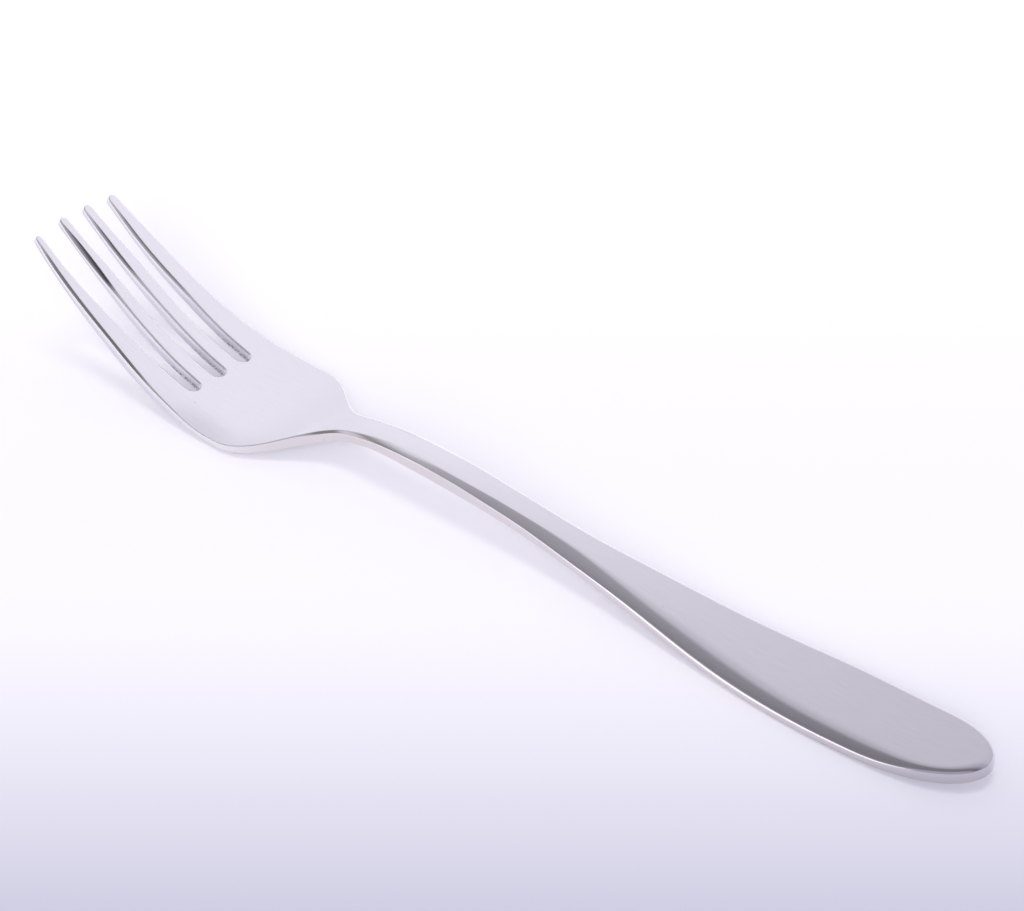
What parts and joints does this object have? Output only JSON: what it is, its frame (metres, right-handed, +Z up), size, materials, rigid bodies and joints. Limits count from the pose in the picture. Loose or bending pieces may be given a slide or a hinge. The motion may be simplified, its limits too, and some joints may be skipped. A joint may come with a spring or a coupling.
{
  "type": "dessert fork",
  "caption": "Dessert fork pressed from a single blank of polished steel: broad rounded handle, slim arched neck, flared shoulders and a dished head with tapering tines.",
  "frame": {"origin": "on the table, under the middle of the fork's length and width", "axes": "+X from the end of the handle towards the tine tips, +Z up, the hollow side of the head facing up"},
  "size_m": [0.185, 0.0254, 0.0214],
  "materials": {
    "polished_steel": "polished stainless steel, with the slot walls left finer ground than mirror bright"
  },
  "bodies": {
    "root": {"fork": "polished_steel"}
  },
  "joints": []
}
